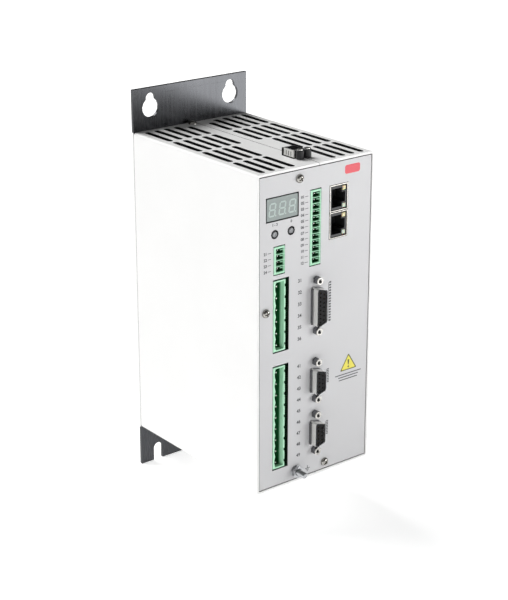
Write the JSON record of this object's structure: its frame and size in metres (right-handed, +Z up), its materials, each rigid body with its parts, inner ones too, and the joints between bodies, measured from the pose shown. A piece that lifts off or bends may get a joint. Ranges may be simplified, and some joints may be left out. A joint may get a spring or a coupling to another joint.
{
  "type": "servo drive",
  "caption": "Wall-plate servo drive: vented folded covers, front panel with display, buttons, terminal headers, network jacks and D-sub sockets.",
  "frame": {"origin": "centre of the mounting plate's back face", "axes": "+Z up, +Y out of the back of the plate into the wall, -Y towards the operator, +X to the right as the front panel is read"},
  "size_m": [0.092, 0.1389, 0.263],
  "materials": {
    "plate_steel": "dark grey passivated sheet steel, satin with soft reflections",
    "cover_paint": "white powder coat on folded sheet steel, satin",
    "panel_paint": "light grey powder coat on sheet, satin, printed in dark grey",
    "display_face": "grey-green display face with paler unlit segments",
    "button_grey": "grey moulded caps",
    "black_plastic": "black glass-filled thermoplastic",
    "terminal_green": "pale green moulded polyamide",
    "nickel_plate": "nickel-plated steel and brass",
    "light_amber": "clear pale amber light pipe",
    "light_green": "clear pale green light pipe",
    "zinc_steel": "zinc-plated steel",
    "pale_plastic": "off-white moulded plastic",
    "heat_sink_aluminium": "extruded aluminium, mill finish",
    "board_green": "glass-epoxy board with green solder mask",
    "capacitor_sleeve": "shrink sleeve on an aluminium can",
    "copper_wire": "enamelled copper winding",
    "tape_yellow": "yellow winding tape on a ferrite transformer"
  },
  "bodies": {
    "drive": {"mounting_plate": "plate_steel", "left_cover": "cover_paint", "right_cover": "cover_paint", "front_panel": "panel_paint", "display_module": "display_face", "mode_switch": "black_plastic", "set_switch": "black_plastic", "upper_jack_insert": "black_plastic", "lower_jack_insert": "black_plastic", "feedback_dsub_insert": "black_plastic", "upper_dsub_insert": "black_plastic", "lower_dsub_insert": "black_plastic", "aux_plug_body": "black_plastic", "aux_plug_entry_left": "black_plastic", "aux_plug_entry_right": "black_plastic", "power_module": "black_plastic", "inrush_relay": "black_plastic", "logic_header": "terminal_green", "signal_header": "terminal_green", "supply_header": "terminal_green", "motor_header": "terminal_green", "upper_jack_shield": "nickel_plate", "lower_jack_shield": "nickel_plate", "feedback_dsub_shell": "nickel_plate", "upper_dsub_shell": "nickel_plate", "lower_dsub_shell": "nickel_plate", "feedback_dsub_jackscrew_top": "nickel_plate", "feedback_dsub_jackscrew_bottom": "nickel_plate", "upper_dsub_jackscrew_top": "nickel_plate", "upper_dsub_jackscrew_bottom": "nickel_plate", "lower_dsub_jackscrew_top": "nickel_plate", "lower_dsub_jackscrew_bottom": "nickel_plate", "earth_stud": "nickel_plate", "earth_nut": "nickel_plate", "upper_jack_amber_led": "light_amber", "lower_jack_amber_led": "light_amber", "upper_jack_green_led": "light_green", "lower_jack_green_led": "light_green", "panel_screw_top": "zinc_steel", "panel_screw_left": "zinc_steel", "panel_screw_bottom": "zinc_steel", "cover_screw_top": "zinc_steel", "cover_screw_bottom": "zinc_steel", "earth_washer": "zinc_steel", "board_spacer_upper_left": "zinc_steel", "board_spacer_upper_right": "zinc_steel", "board_spacer_lower_left": "zinc_steel", "board_spacer_lower_right": "zinc_steel", "aux_plug_plate": "pale_plastic", "heat_sink": "heat_sink_aluminium", "power_board": "board_green", "control_board": "board_green", "riser_board": "board_green", "bus_capacitor_top_left": "capacitor_sleeve", "bus_capacitor_top_middle": "capacitor_sleeve", "bus_capacitor_low_left": "capacitor_sleeve", "filter_choke": "copper_wire", "supply_transformer": "tape_yellow"},
    "mode_button": {"mode_button": "button_grey"},
    "set_button": {"set_button": "button_grey"}
  },
  "joints": [
    {"name": "mode_press", "type": "slide", "parent": "drive", "child": "mode_button", "axis": [0, 1, 0], "range_m": [0, 0.0005], "stiffness_N_per_m": 600},
    {"name": "set_press", "type": "slide", "parent": "drive", "child": "set_button", "axis": [0, 1, 0], "range_m": [0, 0.0005], "stiffness_N_per_m": 600}
  ]
}
